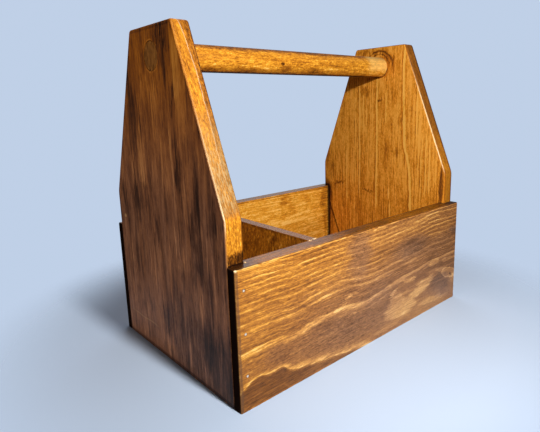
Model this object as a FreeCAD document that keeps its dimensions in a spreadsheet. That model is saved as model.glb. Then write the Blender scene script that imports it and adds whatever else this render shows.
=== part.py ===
import FreeCAD, Part
import math
import os
import Sketcher

# A carry tote: two tapered end panels, two side boards rabbeted at their ends and nailed over the
# panels' edges, a bottom board, a cross divider and a round handle glued through both end panels.
# Frame: origin in the middle of the underside, +X to the right end panel, +Y to the back, +Z up.

SHEET = "sizes"

# name, millimetres (or a count), meaning
SIZES = (
    ("box_length", 381.0, "over the outer faces of the two end panels"),
    ("end_width", 228.6, "width of an end panel, front edge to back edge"),
    ("end_thickness", 19.05, "thickness of an end panel"),
    ("end_height", 358.8, "height of an end panel"),
    ("shoulder_height", 181.5, "height where the sides of an end panel start to slant"),
    ("top_flat_width", 88.9, "width of the flat on top of an end panel"),
    ("shoulder_radius", 25.0, "rounding of the two shoulders of an end panel"),
    ("top_corner_radius", 4.5, "rounding of the two top corners of an end panel"),
    ("end_arris_radius", 2.2, "eased edges round the outline of an end panel"),
    ("side_height", 139.7, "height of the side boards and of the divider's top"),
    ("side_thickness", 19.05, "thickness of a side board"),
    ("side_lap", 10.5, "what the rabbets leave of that thickness, over the end panels' edges"),
    ("side_end_arris_radius", 2.4, "eased upright edges at the ends of a side board"),
    ("side_top_arris_radius", 1.4, "eased edges along the top of a side board"),
    ("bottom_thickness", 11.1, "thickness of the bottom board"),
    ("divider_thickness", 12.0, "thickness of the cross divider"),
    ("divider_distance", 108.3, "from the left end's outer face to the divider's left face"),
    ("divider_arris_radius", 1.0, "eased edges along the top of the divider"),
    ("handle_diameter", 28.6, "diameter of the handle dowel"),
    ("handle_below_top", 29.4, "from the top of an end panel down to the handle's centre line"),
    ("handle_gap", 0.2, "room for glue round the handle in its holes"),
    ("handle_chamfer", 0.6, "chamfer at each end of the handle"),
    ("nail_count", 3, "nails up each corner"),
    ("nail_above_bottom", 35.2, "height of the lowest nail in a corner"),
    ("nail_below_top", 20.9, "from the top of a side board down to the highest nail"),
    ("nail_length", 38.0, "length of a nail with its head"),
    ("nail_shank", 1.8, "diameter of a nail's shank"),
    ("nail_head", 2.8, "diameter of a nail's head"),
    ("nail_head_depth", 1.0, "length of the cone under a nail's head"),
    ("nail_point", 3.0, "length of a nail's four-sided point"),
    ("nail_set", 0.2, "how far a nail's head lies below the face of the board"),
    ("nail_gap", 0.2, "room round a nail in its hole"),
)

# formulas that several pieces share; $name stands for a cell of the sheet
NAIL_SPACING = "($side_height - $nail_above_bottom - $nail_below_top) / ($nail_count - 1)"
NAIL_HOLE = "$nail_shank + 2 * $nail_gap"
HANDLE_HEIGHT = "$end_height - $handle_below_top"
RABBET_DEPTH = "($side_thickness - $side_lap)"
INNER_WIDTH = f"$end_width - 2 * {RABBET_DEPTH}"

# how the edges of a piece are dressed, and what takes wood or steel away
ROUND = "PartDesign::Fillet"
BEVEL = "PartDesign::Chamfer"
CUTS = ("PartDesign::Pocket", "PartDesign::Mirrored", "PartDesign::Hole")

NOWHERE = FreeCAD.Vector(0, 0, 0)
ALONG = FreeCAD.Vector(0, 1, 0)
UP = FreeCAD.Vector(0, 0, 1)
HALF_TURN = 180
QUARTER_TURN = 90

doc = FreeCAD.newDocument("carry_tote")


def make_sheet():
    """Write the driving sizes into a spreadsheet, one row each: name, value, meaning."""
    made = doc.addObject("Spreadsheet::Sheet", SHEET)
    for row, (alias, value, meaning) in enumerate(SIZES, start=1):
        made.set(f"A{row}", alias)
        made.set(f"B{row}", str(value))
        made.set(f"C{row}", meaning)
        made.setAlias(f"B{row}", alias)
    doc.recompute()
    return made


sheet = make_sheet()


def spell(formula):
    """Write a formula's $names as cells of the sheet."""
    return formula.replace("$", f"{SHEET}.")


def amount(formula):
    """What a formula comes to with the sheet's values."""
    return float(sheet.evalExpression(spell(formula)))


def bind(thing, path, formula):
    """Tie one property to a formula."""
    thing.setExpression(path, spell(formula))


# ---- bodies and sketches

def new_body(label):
    body = doc.addObject("PartDesign::Body", label)
    body.Label = label
    return body


def place(body, across, along, up, turned=False):
    """Set a body in the tote, turned half round the upright axis if it belongs to the back."""
    if turned:
        body.Placement.Rotation = FreeCAD.Rotation(UP, HALF_TURN)
    bind(body, "Placement.Base.x", across)
    bind(body, "Placement.Base.y", along)
    bind(body, "Placement.Base.z", up)


def origin_feature(body, role):
    return next(feature for feature in body.Origin.OriginFeatures if feature.Role == role)


def new_sketch(body, name, plane):
    sketch = body.newObject("Sketcher::SketchObject", name)
    sketch.AttachmentSupport = [(origin_feature(body, plane), "")]
    sketch.MapMode = "FlatFace"
    return sketch


# ---- points and axes of a sketch, as its constraints name them

def start(line):
    return line, 1


def end(line):
    return line, 2


def middle(circle):
    return circle, 3


def origin_point():
    return -1, 1


def flat_axis():
    return -1


def upright_axis():
    return -2


# ---- constraints

def constrain(sketch, kind, *words):
    return sketch.addConstraint(Sketcher.Constraint(kind, *words))


def level(sketch, *lines):
    for line in lines:
        constrain(sketch, "Horizontal", line)


def upright(sketch, *lines):
    for line in lines:
        constrain(sketch, "Vertical", line)


def centre(sketch, first, second):
    """Set two points evenly about the upright axis."""
    constrain(sketch, "Symmetric", *first, *second, upright_axis())


def measure(sketch, name, kind, words, formula):
    """Give a sketch a dimension and tie it to a formula."""
    index = constrain(sketch, kind, *words, amount(formula))
    sketch.renameConstraint(index, name)
    bind(sketch, f"Constraints.{name}", formula)


def measure_across(sketch, name, first, second, formula):
    measure(sketch, name, "DistanceX", (*first, *second), formula)


def measure_up(sketch, name, first, second, formula):
    measure(sketch, name, "DistanceY", (*first, *second), formula)


# ---- outlines

def add_loop(sketch, points):
    """Draw a closed run of lines through points, and join their ends."""
    corners = [FreeCAD.Vector(across, up, 0) for across, up in points]
    for here, there in zip(corners, corners[1:] + corners[:1]):
        sketch.addGeometry(Part.LineSegment(here, there))
    for line in range(len(corners)):
        following = (line + 1) % len(corners)
        constrain(sketch, "Coincident", *end(line), *start(following))


def add_rectangle(sketch, width, height):
    """A rectangle that stands on the flat axis, centred on the upright one."""
    side = amount(width) / 2
    rise = amount(height)
    add_loop(sketch, ((-side, 0), (side, 0), (side, rise), (-side, rise)))
    bottom, right, top, left = range(4)
    level(sketch, top)
    upright(sketch, right, left)
    centre(sketch, start(bottom), end(bottom))
    constrain(sketch, "PointOnObject", *start(bottom), flat_axis())
    measure_across(sketch, "width", start(bottom), end(bottom), width)
    measure_up(sketch, "height", start(right), end(right), height)


def add_end_rectangle(sketch, length, width, height):
    """A rectangle that stands on the flat axis, at the left end of a given length centred there."""
    outside = -amount(length) / 2
    inside = outside + amount(width)
    rise = amount(height)
    add_loop(sketch, ((outside, 0), (inside, 0), (inside, rise), (outside, rise)))
    bottom, right, top, left = range(4)
    level(sketch, bottom, top)
    upright(sketch, right, left)
    constrain(sketch, "PointOnObject", *start(bottom), flat_axis())
    measure_across(sketch, "reach", start(bottom), origin_point(), f"{length} / 2")
    measure_across(sketch, "width", start(bottom), end(bottom), width)
    measure_up(sketch, "height", start(right), end(right), height)


def add_circle(sketch, name, across, up, diameter):
    centre_point = FreeCAD.Vector(amount(across), amount(up), 0)
    circle = sketch.addGeometry(Part.Circle(centre_point, UP, amount(diameter) / 2))
    measure_across(sketch, f"{name}_across", origin_point(), middle(circle), across)
    measure_up(sketch, f"{name}_up", origin_point(), middle(circle), up)
    measure(sketch, f"{name}_diameter", "Diameter", (circle,), diameter)


def add_nail_circles(sketch, column, across):
    """One column of circles, a circle for each nail of a corner."""
    for number in range(int(sheet.nail_count)):
        up = f"$nail_above_bottom + {number} * {NAIL_SPACING}"
        add_circle(sketch, f"{column}{number}", across, up, NAIL_HOLE)


# ---- features

def pad(body, sketch, name, length, both_ways=False):
    feature = body.newObject("PartDesign::Pad", name)
    feature.Profile = sketch
    feature.Midplane = both_ways
    bind(feature, "Length", length)
    return feature


def cut_through(body, sketch, name):
    """Cut a sketch's outline through the whole body, both ways from the sketch."""
    feature = body.newObject("PartDesign::Pocket", name)
    feature.Profile = sketch
    feature.Type = "ThroughAll"
    feature.Midplane = True
    return feature


def dress_edges(body, kind, name, size, test):
    """Round or bevel the edges of the body so far whose bounding boxes pass the test."""
    doc.recompute()
    base = body.Tip
    edges = enumerate(base.Shape.Edges, start=1)
    feature = body.newObject(kind, name)
    feature.Base = (base, [f"Edge{number}" for number, edge in edges if test(edge.BoundBox)])
    bind(feature, "Radius" if kind == ROUND else "Size", size)
    return feature


def same(one, other):
    """Whether two figures differ by no more than rounding."""
    return math.isclose(one, other, abs_tol=1e-4)


def runs_across(box):
    """Whether an edge runs along X."""
    return not same(box.XLength, 0)


# ---- the pieces

def make_end_panel(label, across):
    """A thick board: upright sides, slanted shoulders, a flat top, a handle hole and nail holes."""
    body = new_body(label)
    outline = new_sketch(body, f"{label}_outline", "YZ_Plane")
    side = sheet.end_width / 2
    top_side = sheet.top_flat_width / 2
    add_loop(outline, (
        (-side, 0),
        (side, 0),
        (side, sheet.shoulder_height),
        (top_side, sheet.end_height),
        (-top_side, sheet.end_height),
        (-side, sheet.shoulder_height),
    ))
    bottom, back, back_slant, top, front_slant, front = range(6)
    upright(outline, back, front)
    centre(outline, start(bottom), end(bottom))
    centre(outline, start(top), end(top))
    constrain(outline, "PointOnObject", *start(bottom), flat_axis())
    measure_across(outline, "width", start(bottom), end(bottom), "$end_width")
    measure_across(outline, "top_flat", end(top), start(top), "$top_flat_width")
    measure_up(outline, "back_shoulder", start(back), end(back), "$shoulder_height")
    measure_up(outline, "front_shoulder", end(front), start(front), "$shoulder_height")
    measure_up(outline, "height", end(bottom), end(back_slant), "$end_height")
    pad(body, outline, f"{label}_board", "$end_thickness")

    half_way_up_the_slant = (sheet.shoulder_height + sheet.end_height) / 2

    def shoulder_edge(box):
        return runs_across(box) and not same(box.ZMin, 0) and box.ZMin < half_way_up_the_slant

    def top_corner_edge(box):
        return runs_across(box) and box.ZMin > half_way_up_the_slant

    def outline_edge(box):
        return not runs_across(box) and not same(box.ZMax, 0)

    dress_edges(body, ROUND, f"{label}_shoulders", "$shoulder_radius", shoulder_edge)
    dress_edges(body, ROUND, f"{label}_top_corners", "$top_corner_radius", top_corner_edge)
    dress_edges(body, ROUND, f"{label}_arrises", "$end_arris_radius", outline_edge)

    handle_circle = new_sketch(body, f"{label}_handle_circle", "YZ_Plane")
    add_circle(handle_circle, "hole", "0", HANDLE_HEIGHT, "$handle_diameter + 2 * $handle_gap")
    cut_through(body, handle_circle, f"{label}_handle_hole")

    nail_circles = new_sketch(body, f"{label}_nail_circles", "XZ_Plane")
    bind(nail_circles, "AttachmentOffset.Base.z", "$end_width / 2")
    add_nail_circles(nail_circles, "nail", "$end_thickness / 2")
    front_holes = body.newObject("PartDesign::Pocket", f"{label}_front_nail_holes")
    front_holes.Profile = nail_circles
    bind(front_holes, "Length", "$nail_length + $nail_set - $side_lap + $nail_gap")
    back_holes = body.newObject("PartDesign::Mirrored", f"{label}_back_nail_holes")
    back_holes.Originals = [front_holes]
    back_holes.MirrorPlane = (origin_feature(body, "XZ_Plane"), [""])
    body.Tip = back_holes
    place(body, across, "0", "0")
    return body


def make_side_board(label, along, turned):
    """A board rabbeted to lap over both end panels, drilled and countersunk for the nails."""
    body = new_body(label)
    outline = new_sketch(body, f"{label}_outline", "XZ_Plane")
    bind(outline, "AttachmentOffset.Base.z", f"-{RABBET_DEPTH}")
    add_rectangle(outline, "$box_length", "$side_height")
    pad(body, outline, f"{label}_board", "$side_thickness")
    half_way_up = sheet.side_height / 2

    def outer_end_edge(box):
        return not same(box.ZLength, 0) and box.YMax < 0

    def top_edge(box):
        return runs_across(box) and box.ZMin > half_way_up

    dress_edges(body, ROUND, f"{label}_end_arrises", "$side_end_arris_radius", outer_end_edge)
    dress_edges(body, ROUND, f"{label}_top_arrises", "$side_top_arris_radius", top_edge)

    rabbet_outline = new_sketch(body, f"{label}_rabbet_outline", "XZ_Plane")
    add_end_rectangle(rabbet_outline, "$box_length", "$end_thickness", "$side_height")
    rabbet = body.newObject("PartDesign::Pocket", f"{label}_left_rabbet")
    rabbet.Profile = rabbet_outline
    bind(rabbet, "Length", RABBET_DEPTH)
    rabbets = body.newObject("PartDesign::Mirrored", f"{label}_right_rabbet")
    rabbets.Originals = [rabbet]
    rabbets.MirrorPlane = (origin_feature(body, "YZ_Plane"), [""])
    body.Tip = rabbets

    circles = new_sketch(body, f"{label}_nail_circles", "XZ_Plane")
    bind(circles, "AttachmentOffset.Base.z", "$side_lap")
    add_nail_circles(circles, "left", "-($box_length - $end_thickness) / 2")
    add_nail_circles(circles, "right", "($box_length - $end_thickness) / 2")
    doc.recompute()
    holes = body.newObject("PartDesign::Hole", f"{label}_nail_holes")
    holes.Profile = circles
    holes.DepthType = "ThroughAll"
    holes.DrillPoint = "Flat"
    holes.HoleCutType = "Countersink"
    holes.HoleCutCustomValues = True
    taper = "($nail_head - $nail_shank) / $nail_head_depth"
    bind(holes, "Diameter", NAIL_HOLE)
    bind(holes, "HoleCutDiameter", f"$nail_head + 2 * $nail_gap + $nail_set * {taper}")
    bind(holes, "HoleCutCountersinkAngle", f"2 * atan({taper} / 2)")
    place(body, "0", along, "0", turned)
    return body


def make_bottom_board(label):
    """The board that closes the box below, between the end panels and the side boards."""
    body = new_body(label)
    outline = new_sketch(body, f"{label}_outline", "XZ_Plane")
    add_rectangle(outline, "$box_length - 2 * $end_thickness", "$bottom_thickness")
    pad(body, outline, f"{label}_board", INNER_WIDTH, both_ways=True)
    return body


def make_divider(label):
    """A thin board across the box, standing on the bottom board, as high as the side boards."""
    body = new_body(label)
    outline = new_sketch(body, f"{label}_outline", "YZ_Plane")
    add_rectangle(outline, INNER_WIDTH, "$side_height - $bottom_thickness")
    pad(body, outline, f"{label}_board", "$divider_thickness")

    def top_edge(box):
        return not same(box.YLength, 0) and not same(box.ZMin, 0)

    dress_edges(body, ROUND, f"{label}_top_arrises", "$divider_arris_radius", top_edge)
    place(body, "$divider_distance - $box_length / 2", "0", "$bottom_thickness")
    return body


def make_handle(label):
    """A dowel as long as the box, its ends level with the outer faces of the end panels."""
    body = new_body(label)
    section = new_sketch(body, f"{label}_section", "YZ_Plane")
    add_circle(section, "dowel", "0", "0", "$handle_diameter")
    pad(body, section, f"{label}_dowel", "$box_length")

    def end_edge(box):
        return not runs_across(box)

    dress_edges(body, BEVEL, f"{label}_ends", "$handle_chamfer", end_edge)
    place(body, "-$box_length / 2", "0", HANDLE_HEIGHT)
    return body


def cut_flanks(body, name, turn):
    """Cut two opposite flanks of a nail's point, seen square to a plane turned about its axis."""
    outline = new_sketch(body, f"{name}_outline", "XY_Plane")
    outline.AttachmentOffset = FreeCAD.Placement(NOWHERE, FreeCAD.Rotation(ALONG, turn))
    side = sheet.nail_shank
    tip = sheet.nail_length
    foot = tip - 2 * sheet.nail_point
    beyond = tip + sheet.nail_point
    add_loop(outline, ((-side, foot), (0, tip), (side, foot), (side, beyond), (-side, beyond)))
    left_flank, right_flank, right, top, left = range(5)
    level(outline, top)
    upright(outline, right, left)
    centre(outline, start(left_flank), end(right_flank))
    constrain(outline, "PointOnObject", *end(left_flank), upright_axis())
    measure_across(outline, "spread", start(left_flank), end(right_flank), "2 * $nail_shank")
    measure_up(outline, "tip", origin_point(), end(left_flank), "$nail_length")
    measure_up(outline, "drop", end(right_flank), start(right_flank), "2 * $nail_point")
    measure_up(outline, "beyond", start(right_flank), end(right), "$nail_point")
    return cut_through(body, outline, name)


def make_nails(label, across, along, turned):
    """The nails of one corner, driven through a side board into the edge of an end panel."""
    body = new_body(label)
    body.AllowCompound = True
    half_section = new_sketch(body, f"{label}_half_section", "XY_Plane")
    head_radius = sheet.nail_head / 2
    shank_radius = sheet.nail_shank / 2
    add_loop(half_section, (
        (0, 0),
        (head_radius, 0),
        (shank_radius, sheet.nail_head_depth),
        (shank_radius, sheet.nail_length),
        (0, sheet.nail_length),
    ))
    head_face, head_cone, shank, end_face, axis = range(5)
    level(half_section, head_face, end_face)
    upright(half_section, shank, axis)
    constrain(half_section, "Coincident", *start(head_face), *origin_point())
    measure_across(half_section, "head", start(head_face), end(head_face), "$nail_head / 2")
    measure_across(half_section, "shank", end(end_face), start(end_face), "$nail_shank / 2")
    measure_up(half_section, "head_depth", start(head_cone), end(head_cone), "$nail_head_depth")
    measure_up(half_section, "length", end(axis), start(axis), "$nail_length")
    nail = body.newObject("PartDesign::Revolution", f"{label}_nail")
    nail.Profile = half_section
    nail.ReferenceAxis = (half_section, ["V_Axis"])
    wide_flanks = cut_flanks(body, f"{label}_wide_flanks", 0)
    high_flanks = cut_flanks(body, f"{label}_high_flanks", QUARTER_TURN)
    column = body.newObject("PartDesign::LinearPattern", f"{label}_column")
    column.Originals = [nail, wide_flanks, high_flanks]
    column.Direction = (origin_feature(body, "Z_Axis"), [""])
    column.Occurrences = int(sheet.nail_count)
    bind(column, "Length", f"($nail_count - 1) * {NAIL_SPACING}")
    body.Tip = column
    place(body, across, along, "$nail_above_bottom", turned)
    return body


def make_tote():
    """All the pieces of the tote, in the order in which it is put together."""
    left = "-($box_length - $end_thickness) / 2"
    right = "($box_length - $end_thickness) / 2"
    front_edge = "-$end_width / 2"
    back_edge = "$end_width / 2"
    front_heads = f"{front_edge} - $side_lap + $nail_set"
    back_heads = f"{back_edge} + $side_lap - $nail_set"
    return (
        make_end_panel("left_end_panel", "-$box_length / 2"),
        make_end_panel("right_end_panel", "$box_length / 2 - $end_thickness"),
        make_bottom_board("bottom_board"),
        make_divider("cross_divider"),
        make_handle("handle_dowel"),
        make_side_board("front_side_board", front_edge, False),
        make_side_board("back_side_board", back_edge, True),
        make_nails("front_left_nails", left, front_heads, False),
        make_nails("front_right_nails", right, front_heads, False),
        make_nails("back_left_nails", left, back_heads, True),
        make_nails("back_right_nails", right, back_heads, True),
    )


def check_features():
    """Stop if a feature failed, or if a cut took nothing away."""
    for feature in doc.Objects:
        if {"Invalid", "Error"} & set(feature.State):
            raise RuntimeError(f"{feature.Name} failed: {feature.State}")
        if feature.TypeId in CUTS and same(feature.Shape.Volume, feature.BaseFeature.Shape.Volume):
            raise RuntimeError(f"{feature.Name} cuts nothing")


def check_overall_size(bodies):
    """Stop if the tote as a whole isn't as long, deep and high as the sheet says."""
    box = FreeCAD.BoundBox()
    for body in bodies:
        box.add(body.Shape.optimalBoundingBox())
    depth = sheet.end_width + 2 * sheet.side_lap
    found = (box.XLength, box.YLength, box.ZLength)
    for length, wanted in zip(found, (sheet.box_length, depth, sheet.end_height)):
        if not same(length, wanted):
            raise RuntimeError(f"the tote measures {length} where it should be {wanted}")


def write_pieces(bodies):
    """Write each body to a file named after it."""
    os.makedirs("parts", exist_ok=True)
    for body in bodies:
        shape = body.Shape
        if shape.isNull() or not shape.isValid():
            raise RuntimeError(f"{body.Label} has no sound shape")
        shape.exportStep(f"parts/{body.Label}.step")
        print(f"{body.Label}: {len(shape.Solids)} solid(s), {shape.Volume:.0f} mm3")


tote = make_tote()
doc.recompute()
check_features()
check_overall_size(tote)
write_pieces(tote)
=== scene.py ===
import math

import bmesh
import bpy
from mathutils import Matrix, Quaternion, Vector


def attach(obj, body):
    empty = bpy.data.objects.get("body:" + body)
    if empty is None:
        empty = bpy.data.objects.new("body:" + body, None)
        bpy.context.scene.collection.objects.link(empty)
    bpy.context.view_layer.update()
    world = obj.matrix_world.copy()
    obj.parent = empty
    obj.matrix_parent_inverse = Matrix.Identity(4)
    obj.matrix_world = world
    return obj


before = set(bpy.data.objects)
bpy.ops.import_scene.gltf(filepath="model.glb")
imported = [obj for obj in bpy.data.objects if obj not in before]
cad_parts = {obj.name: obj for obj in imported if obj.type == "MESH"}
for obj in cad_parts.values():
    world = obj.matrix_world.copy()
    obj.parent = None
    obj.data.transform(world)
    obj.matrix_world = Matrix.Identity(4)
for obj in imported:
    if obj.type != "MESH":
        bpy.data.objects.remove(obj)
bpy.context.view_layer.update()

# Every measure below that has no other unit is in millimetres: x runs from the left end's outer
# face, y from the front edge of the end panels and z from the underside.
MM = 0.001
BOX_LENGTH = 381.0
END_WIDTH = 228.6
END_THICKNESS = 19.05
END_HEIGHT = 358.8
SHOULDER_HEIGHT = 181.5
TOP_FLAT_WIDTH = 88.9
SIDE_HEIGHT = 139.7
SIDE_THICKNESS = 19.05
SIDE_LAP = 10.5
INNER_FRONT = SIDE_THICKNESS - SIDE_LAP
INNER_BACK = END_WIDTH - INNER_FRONT
HANDLE_HEIGHT = 329.4
NAIL_HEIGHTS = (35.2, 77.0, 118.8)
MIDDLE = Vector((BOX_LENGTH / 2, END_WIDTH / 2, 0))

# How stain takes, from bare dark pores to hard gold latewood.
STAIN = (
    (0.00, (0.014, 0.004, 0.001)),
    (0.18, (0.060, 0.018, 0.002)),
    (0.36, (0.185, 0.060, 0.005)),
    (0.54, (0.360, 0.126, 0.009)),
    (0.72, (0.590, 0.236, 0.016)),
    (0.88, (0.820, 0.390, 0.036)),
    (1.00, (0.980, 0.600, 0.150)),
)
# The same stain where it went on thick and red.
RED_STAIN = (
    (0.00, (0.016, 0.006, 0.003)),
    (0.20, (0.066, 0.021, 0.008)),
    (0.38, (0.180, 0.056, 0.013)),
    (0.56, (0.370, 0.110, 0.011)),
    (0.76, (0.640, 0.212, 0.018)),
    (1.00, (0.900, 0.370, 0.050)),
)
# The stain with a painted reflection of the pale floor in its coat: on the front board, and on the
# shaded left end.
FLOOR_SHEEN_STAIN = (
    (0.00, (0.030, 0.014, 0.008)),
    (0.30, (0.130, 0.064, 0.034)),
    (0.50, (0.320, 0.172, 0.100)),
    (0.70, (0.520, 0.300, 0.170)),
    (1.00, (0.850, 0.580, 0.340)),
)
DIM_FLOOR_SHEEN_STAIN = (
    (0.00, (0.026, 0.014, 0.010)),
    (0.30, (0.083, 0.043, 0.030)),
    (0.50, (0.195, 0.106, 0.074)),
    (0.70, (0.355, 0.188, 0.124)),
    (1.00, (0.600, 0.335, 0.210)),
)


class Strand:
    """One socket of a finish. A sum written with strands adds the Math nodes that work it out."""

    def __init__(self, socket):
        self.socket = socket

    def node(self, kind, settings=(), values=(), out=0):
        """A node of the same finish: its settings go in first, then its values and links."""
        tree = self.socket.id_data
        made = tree.nodes.new("ShaderNode" + kind)
        for name, setting in dict(settings).items():
            if name == "stops":
                set_stops(made.color_ramp, setting)
            elif name == "marks":
                set_marks(made.mapping, setting)
            else:
                setattr(made, name, setting)
        for name, value in dict(values).items():
            if isinstance(value, Strand):
                tree.links.new(value.socket, made.inputs[name])
            else:
                made.inputs[name].default_value = value
        return Strand(made.outputs[out]) if made.outputs else None

    def sum(self, operation, *terms):
        return self.node("Math", {"operation": operation}, dict(enumerate(terms)))

    def __add__(self, other):
        return self.sum("ADD", self, other)

    __radd__ = __add__

    def __sub__(self, other):
        return self.sum("SUBTRACT", self, other)

    def __rsub__(self, other):
        return self.sum("SUBTRACT", other, self)

    def __mul__(self, other):
        return self.sum("MULTIPLY", self, other)

    __rmul__ = __mul__

    def __truediv__(self, other):
        return self.sum("DIVIDE", self, other)

    def __pow__(self, other):
        return self.sum("POWER", self, other)


def set_stops(ramp, stops):
    while len(ramp.elements) > 1:
        ramp.elements.remove(ramp.elements[-1])
    ramp.elements[0].position, ramp.elements[0].color = stops[0][0], (*stops[0][1], 1)
    for place, colour in stops[1:]:
        ramp.elements.new(place).color = (*colour, 1)


def set_marks(mapping, marks):
    curve = mapping.curves[0]
    curve.points[0].location = marks[0]
    curve.points[-1].location = marks[-1]
    for mark in marks[1:-1]:
        curve.points.new(*mark)
    mapping.update()


# ---------------------------------------------------------------- sums that the finishes share


def new_finish(name):
    finish = bpy.data.materials.new(name)
    finish.use_nodes = True
    finish.node_tree.nodes.clear()
    return finish, Strand(finish.node_tree.nodes.new("ShaderNodeTexCoord").outputs["Object"])


def millimetres(place):
    """x, y and z of the tote in millimetres."""
    metres = [place.node("SeparateXYZ", (), {0: place}, out=axis) for axis in range(3)]
    return [part * (1 / MM) + middle for part, middle in zip(metres, MIDDLE)]


def point(along, across, through=0.0):
    return next(v for v in (along, across, through) if isinstance(v, Strand)).node(
        "CombineXYZ", (), {0: along, 1: across, 2: through}
    )


def ease(value, low, high):
    """0 up to low and 1 from high on, smooth between. With low above high it falls instead."""
    return value.node(
        "MapRange",
        {"interpolation_type": "SMOOTHSTEP"},
        {0: value, 1: low, 2: high, 3: 0.0, 4: 1.0},
    )


def hump(value, centre, reach):
    """1 at a value's centre, 0 at its reach either side."""
    off = value - centre
    return ease(off.sum("ABSOLUTE", off), reach, 0.0)


def lesser(one, other):
    return one.sum("MINIMUM", one, other)


def greater(one, other):
    return one.sum("MAXIMUM", one, other)


def noise(where, detail=2.0, rough=0.5):
    """Even noise about 0, from roughly -0.5 to 0.5."""
    fleck = where.node(
        "TexNoise", (), {"Vector": where, "Scale": 1.0, "Detail": detail, "Roughness": rough}
    )
    return fleck - 0.5


def course(along, length, marks):
    """The level that a line of grain keeps, through marks of (place along, level)."""
    levels = [level for _, level in marks]
    low, high = min(levels), max(levels)
    scaled = [(at / length, (level - low) / (high - low)) for at, level in marks]
    return (
        along.node("FloatCurve", {"marks": scaled}, {"Value": along / length}) * (high - low) + low
    )


def patch(face, centre, reach, turn=0.0, soft=0.7):
    """1 within a tilted oval of a face and 0 well outside it."""
    oval = face.node(
        "Mapping",
        {"vector_type": "TEXTURE"},
        {
            "Vector": face,
            "Location": (*centre, 0),
            "Rotation": (0, 0, math.radians(turn)),
            "Scale": (*reach, 1),
        },
    )
    away = face.node("VectorMath", {"operation": "LENGTH"}, {0: oval}, out=1)
    return ease(away, 1 + soft / 2, 1 - soft / 2)


def ragged(face, along, across, amount):
    """A face whose patches get borders that run out along the grain."""
    stray = face.node(
        "TexNoise",
        (),
        {"Vector": point(along, across), "Scale": 1.0, "Detail": 5.0, "Roughness": 0.62},
        out=1,
    )
    centred = face.node("VectorMath", {"operation": "SUBTRACT"}, {0: stray, 1: (0.5, 0.5, 0.5)})
    scaled = face.node("VectorMath", {"operation": "MULTIPLY"}, {0: centred, 1: (*amount, 0)})
    return face.node("VectorMath", {"operation": "ADD"}, {0: face, 1: scaled})


def patches(face, soft, *ovals):
    """The strongest of several ovals, each given as (centre, reach, tilt, strength)."""
    total = None
    for centre, reach, turn, strength in ovals:
        one = patch(face, centre, reach, turn, soft) * strength
        total = one if total is None else greater(total, one)
    return total


def rings(across, depth, heart, spacing, first):
    """Count of growth rings out from the heart of the log, as whole rings and the part of one."""
    wide, deep = across - heart[0], depth - heart[1]
    radius = (wide * wide + deep * deep) ** 0.5
    count = (radius - first) / spacing
    whole = count.sum("FLOOR", count)
    return whole, count - whole


def latewood(part, start=0.35, finish=0.93):
    """The hard gold side of a ring: a slow rise, then a sudden end."""
    return ease(part, start, finish) ** 1.6 * ease(part, 1.0, finish + 0.02)


def ring_strength(whole):
    """How strongly each ring shows, 0 to 1."""
    return whole.node("TexWhiteNoise", {"noise_dimensions": "1D"}, {"W": whole})


def fibres(along, across, depth, seed):
    """Fine streaks along the grain."""
    long = noise(point(along / 46 + seed, across / 1.5, depth / 1.5), 3.0, 0.6)
    short = noise(point(along / 9 - seed, across / 0.7, depth / 0.7), 1.0, 0.5)
    return long * 1.5 + short * 0.9


def grit(along, across, depth, seed):
    """The uneven way that stain takes, in flecks a little longer than wide."""
    coarse = noise(point(along / 6 + seed, across / 2.6, depth / 2.6), 3.0, 0.65)
    fine = noise(point(along / 2.6 - seed, across / 1.1, depth / 1.1), 1.0, 0.5)
    return coarse * 1.1 + fine * 0.8


def pores(along, across, depth, seed):
    """Short dark open pores."""
    return ease(noise(point(along / 7 + seed, across / 0.7, depth / 0.7), 1.0), 0.13, 0.24)


def box_arris(x, y, z, low, high):
    """How far a point on a board's skin is from its nearest long or short arris."""
    gaps = [lesser(v - a, b - v) for v, a, b in zip((x, y, z), low, high)]
    return greater(lesser(gaps[0], gaps[1]), lesser(greater(gaps[0], gaps[1]), gaps[2]))


def top_face(z):
    """1 on the top of a side board or of the divider."""
    return ease(z, SIDE_HEIGHT - 1.0, SIDE_HEIGHT - 0.3)


def board_end(x, low=1.6, high=0.5):
    """1 on the sawn ends of a side board. The left one may start nearer to its corner."""
    return greater(ease(x, low, high), ease(x, BOX_LENGTH - 1.6, BOX_LENGTH - 0.5))


def blend(under, over, share):
    return share.node(
        "Mix", {"data_type": "RGBA", "clamp_factor": True}, {0: share, 6: under, 7: over}, out=2
    )


def tint(value, stops):
    return value.node("ValToRGB", {"stops": stops}, {0: value})


def varnish(place, colour, roughness, height, sheen=0.3, bare=None):
    """The satin coat over a stained face. The height is in millimetres, bare wood has no coat."""
    relief = place.node("Bump", (), {"Strength": 1.0, "Distance": MM, "Height": height})
    coat = place.node(
        "BsdfPrincipled",
        (),
        {
            "Base Color": colour,
            "Roughness": roughness,
            "Normal": relief,
            "IOR": 1.47,
            "Specular IOR Level": sheen,
        },
    )
    if bare is not None:
        dull = place.node("BsdfDiffuse", (), {"Color": (*BARE_END, 1), "Roughness": 1.0})
        coat = place.node("MixShader", (), {0: bare, 1: coat, 2: dull})
    place.node("OutputMaterial", (), {"Surface": coat})


# ---------------------------------------------------------------- the finish of each piece

BARE_END = (0.012, 0.006, 0.004)
PALE_WEAR = (0.80, 0.50, 0.20)
# The front board's left corner: its upright arris, the worn arris along its top with a painted
# highlight, and the bare tip with a painted highlight.
DULL_ARRIS = (0.17, 0.080, 0.032)
GOLD_ARRIS_HIGHLIGHT = (0.95, 0.58, 0.16)
BARE_TIP_HIGHLIGHT = (1.0, 0.78, 0.48)
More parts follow.
